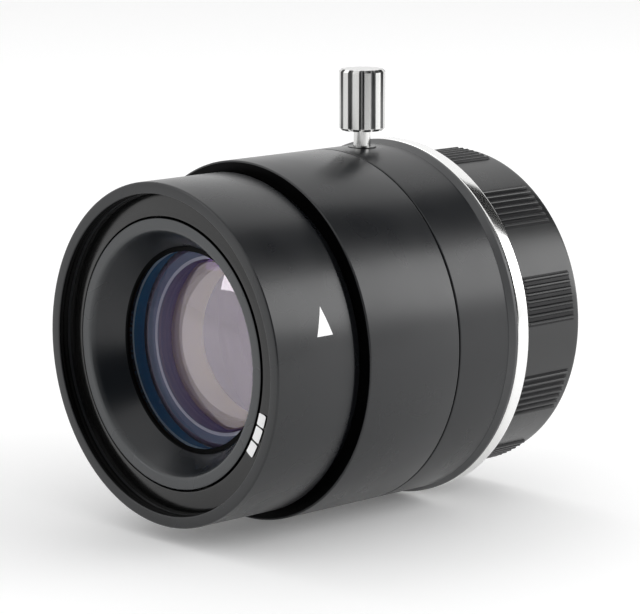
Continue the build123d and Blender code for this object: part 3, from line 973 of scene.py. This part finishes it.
def marks():
    """Triangle on the side and three blocks on the flat face of the focus ring."""
    patch("index_triangle", TRIANGLE, on_side, "focus_ring")
    inner, outer = focus_lip_bore + BLOCK_INNER, focus_lip_bore + BLOCK_OUTER
    for number, (start, end) in enumerate(BLOCK_ENDS):
        corners = [(start, inner), (end, inner), (end, outer), (start, outer)]
        corners = rounded(corners, BLOCK_ROUNDING, BLOCK_ROUNDING_STEPS)
        patch(f"index_block_{number + 1}", corners, on_recess, "focus_ring")


focus_ring()
main_barrel()
iris_ring()
mount_flange()
funnel()
rear_cap()
lock_screw()
glasses()
marks()


# Camera, at the photograph's angle

AZIMUTH = 46.88
ELEVATION = 10.54
FOCAL_PIXELS = 3000
IMAGE_WIDTH = 640
SENSOR_WIDTH = 36.0
DISTANCE = 16.119 * barrel_radius
CLIP_START = 0.005
CLIP_END = 20

# How far the middle of the front rim lies left of and below the middle of the picture
RIM_LEFT_PIXELS = 159.84
RIM_BELOW_PIXELS = 49.12


def make_camera():
    a, e = radians(AZIMUTH), radians(ELEVATION)
    back = Vector((sin(a) * cos(e), -cos(a) * cos(e), sin(e)))
    right = Vector((cos(a), sin(a), 0))
    up = back.cross(right)
    rim = Vector((0, front_rim, 0))
    offset = right * (RIM_LEFT_PIXELS / FOCAL_PIXELS) + up * (RIM_BELOW_PIXELS / FOCAL_PIXELS)
    eye = rim + (back + offset) * DISTANCE
    data = bpy.data.cameras.new("camera")
    data.sensor_width = SENSOR_WIDTH
    data.lens = FOCAL_PIXELS / IMAGE_WIDTH * SENSOR_WIDTH
    data.clip_start = CLIP_START
    data.clip_end = CLIP_END
    camera = bpy.data.objects.new("camera", data)
    camera.matrix_world = Matrix.Translation(eye * MM) @ Matrix((right, up, back)).transposed().to_4x4()
    bpy.context.scene.collection.objects.link(camera)
    bpy.context.scene.camera = camera


# Studio

LENS_MIDDLE = Vector((0, -12, 0))
AMBIENT = 0.8
CARD_ROUGHNESS = 0.9
FLOOR_GREY = 0.95
FLOOR_ROUGHNESS = 0.8
FLOOR_GLOW = 0.12

# Half the floor's side and the gap under the flange, in metres
FLOOR_HALF = 3.0
FLOOR_GAP = 0.0002


def facing_lens(thing, direction, distance, along):
    """Turns a light or card towards the lens, with its width along a given direction."""
    out = Vector(direction).normalized()
    width = (Vector(along) - out * out.dot(Vector(along))).normalized()
    height = out.cross(width)
    place = Matrix.Translation((LENS_MIDDLE + out * distance) * MM)
    thing.matrix_world = place @ Matrix((width, height, out)).transposed().to_4x4()
    thing.visible_camera = False
    bpy.context.scene.collection.objects.link(thing)


def area_light(name, direction, distance, size, radiance, along=(0, 1, 0)):
    """Soft box of a size in millimetres; its power follows from its radiance, where 1 is white."""
    data = bpy.data.lights.new(name, "AREA")
    data.shape = "RECTANGLE"
    data.size, data.size_y = size[0] * MM, size[1] * MM
    data.energy = radiance * pi * size[0] * size[1] * MM ** 2
    facing_lens(bpy.data.objects.new(name, data), direction, distance, along)


def sheet(name, half_width, half_height, z=0.0):
    """Flat rectangle, with its sizes in metres."""
    mesh = bpy.data.meshes.new(name)
    corners = ((-1, -1), (1, -1), (1, 1), (-1, 1))
    mesh.from_pydata([(x * half_width, y * half_height, z) for x, y in corners], [], [(0, 1, 2, 3)])
    return mesh


def card(name, direction, distance, size, grey, along=(0, 1, 0)):
    """Matt card that shows in reflections alone, so it takes no light off the lens or the floor."""
    mesh = sheet(name, size[0] / 2 * MM, size[1] / 2 * MM)
    n = Nodes(name)
    n.shader.inputs["Base Color"].default_value = (grey, grey, grey, 1)
    n.shader.inputs["Roughness"].default_value = CARD_ROUGHNESS
    n.shader.inputs["Specular IOR Level"].default_value = 0.0
    mesh.materials.append(n.material)
    panel = bpy.data.objects.new(name, mesh)
    facing_lens(panel, direction, distance, along)
    panel.visible_diffuse = False
    panel.visible_shadow = False


def background_rays(tree):
    """Is 1 for rays that show the background: camera, glossy and transmission rays."""
    path = tree.nodes.new("ShaderNodeLightPath")
    seen = path.outputs["Is Camera Ray"]
    for name in ("Is Glossy Ray", "Is Transmission Ray"):
        join = tree.nodes.new("ShaderNodeMath")
        join.operation = "MAXIMUM"
        tree.links.new(seen, join.inputs[0])
        tree.links.new(path.outputs[name], join.inputs[1])
        seen = join.outputs[0]
    return seen


def make_floor():
    """White floor that glows a little for the background rays and keeps the shadow."""
    mesh = sheet("floor", FLOOR_HALF, FLOOR_HALF, -flange_radius * MM - FLOOR_GAP)
    floor = bpy.data.objects.new("floor", mesh)
    bpy.context.scene.collection.objects.link(floor)
    n = Nodes("floor")
    n.shader.inputs["Base Color"].default_value = (FLOOR_GREY, FLOOR_GREY, FLOOR_GREY, 1)
    n.shader.inputs["Roughness"].default_value = FLOOR_ROUGHNESS
    n.shader.inputs["Emission Color"].default_value = (1, 1, 1, 1)
    glow = n.ramp(background_rays(n.tree), 0.0, FLOOR_GLOW, 0.0, 1.0)
    n.link(glow, n.shader.inputs["Emission Strength"])
    mesh.materials.append(n.material)


def make_world():
    """White world: full strength as a background, a little less as light."""
    world = bpy.data.worlds.new("studio")
    world.use_nodes = True
    tree = world.node_tree
    tree.nodes.clear()
    output = tree.nodes.new("ShaderNodeOutputWorld")
    background = tree.nodes.new("ShaderNodeBackground")
    tree.links.new(background.outputs[0], output.inputs["Surface"])
    strength = tree.nodes.new("ShaderNodeMapRange")
    strength.inputs["To Min"].default_value = AMBIENT
    strength.inputs["To Max"].default_value = 1.0
    tree.links.new(background_rays(tree), strength.inputs["Value"])
    tree.links.new(strength.outputs[0], background.inputs["Strength"])
    background.inputs["Color"].default_value = (1, 1, 1, 1)
    bpy.context.scene.world = world


def make_studio():
    """Lights and cards; directions point from the lens, and distances and sizes are in millimetres."""
    make_floor()
    make_world()
    area_light("side_box", direction=(0.63, 0.672, 0.385), distance=420, size=(560, 200), radiance=2.5)
    area_light("top_box", direction=(-0.55, 0.1, 0.83), distance=480, size=(300, 300), radiance=0.9)
    area_light("glint_box", direction=(-0.555, -0.784, 0.278), distance=300, size=(50, 46), radiance=4.6,
               along=(1, 0, 0))
    card("dark_flag", direction=(0.207, 0.672, 0.711), distance=360, size=(620, 165), grey=0.02)
    card("dark_room", direction=(0.86, -0.36, 0.3), distance=380, size=(560, 480), grey=0.01,
         along=(1, 1.7, 0))


make_camera()
make_studio()
bpy.context.scene.view_settings.view_transform = "Standard"
